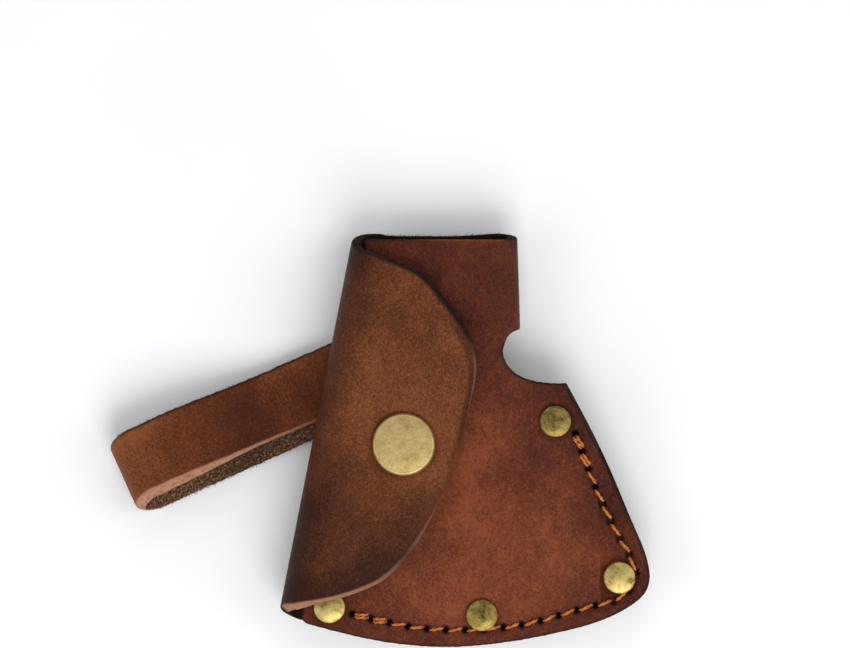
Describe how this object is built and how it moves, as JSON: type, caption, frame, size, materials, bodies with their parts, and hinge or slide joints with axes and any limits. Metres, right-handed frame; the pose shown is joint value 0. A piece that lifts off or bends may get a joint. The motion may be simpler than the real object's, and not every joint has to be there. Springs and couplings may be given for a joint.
{
  "type": "hatchet sheath",
  "caption": "Leather sheath for a hatchet's head with a half-round snap flap, riveted and stitched edges, and a folded belt loop.",
  "frame": {"origin": "under the middle of the whole part, on the surface that it lies on", "axes": "+X across the sheath to the right, +Y up towards the poll, +Z out of the front"},
  "size_m": [0.1353, 0.1035, 0.0219],
  "materials": {
    "front_leather": "reddish-brown oiled leather, burnished at the edges",
    "flap_leather": "warm brown oiled leather with a pale cut edge",
    "strap_leather": "brown leather, dark suede inside",
    "welt_leather": "dark burnished leather",
    "rivet_brass": "aged brass with patina",
    "snap_brass": "pale worn brass",
    "spring_wire": "bright spring wire",
    "thread": "orange two-ply waxed thread"
  },
  "bodies": {
    "sheath": {"front_panel": "front_leather", "back_panel": "flap_leather", "welt": "welt_leather", "rivet_1_cap": "rivet_brass", "rivet_1_post": "rivet_brass", "rivet_2_cap": "rivet_brass", "rivet_2_post": "rivet_brass", "rivet_3_cap": "rivet_brass", "rivet_3_post": "rivet_brass", "rivet_4_cap": "rivet_brass", "rivet_4_post": "rivet_brass", "loop_rivet_post": "rivet_brass", "loop_rivet_cap": "rivet_brass", "snap_stud": "snap_brass", "snap_eyelet": "snap_brass", "front_thread": "thread", "back_thread": "thread"},
    "fold_lower": {"flap_fold_lower": "flap_leather"},
    "fold_upper": {"flap_fold_upper": "flap_leather"},
    "flap": {"flap": "flap_leather", "snap_cap": "snap_brass", "snap_socket": "snap_brass", "snap_spring": "spring_wire"},
    "belt_loop": {"belt_loop": "strap_leather"}
  },
  "joints": [
    {"name": "flap_open", "type": "hinge", "parent": "sheath", "child": "fold_lower", "pos_m": [-0.01191, 0.00299, 0.00545], "axis": [-0.192, -0.9814, 0], "range_deg": [0, 50]},
    {"name": "flap_open_middle", "type": "hinge", "parent": "fold_lower", "child": "fold_upper", "pos_m": [-0.01574, 0.00374, 0.0122], "axis": [-0.192, -0.9814, 0], "range_deg": [0, 50]},
    {"name": "flap_open_front", "type": "hinge", "parent": "fold_upper", "child": "flap", "pos_m": [-0.01191, 0.00299, 0.01895], "axis": [-0.192, -0.9814, 0], "range_deg": [0, 50]},
    {"name": "belt_loop_swivel", "type": "hinge", "parent": "sheath", "child": "belt_loop", "pos_m": [0.00861, 0.02256, 0.0045], "axis": [0, 0, 1], "range_deg": [-50, 5]}
  ],
  "couplings": [
    {"joint": "flap_open_middle", "follows": "flap_open", "ratio": 1},
    {"joint": "flap_open_front", "follows": "flap_open", "ratio": 1}
  ]
}
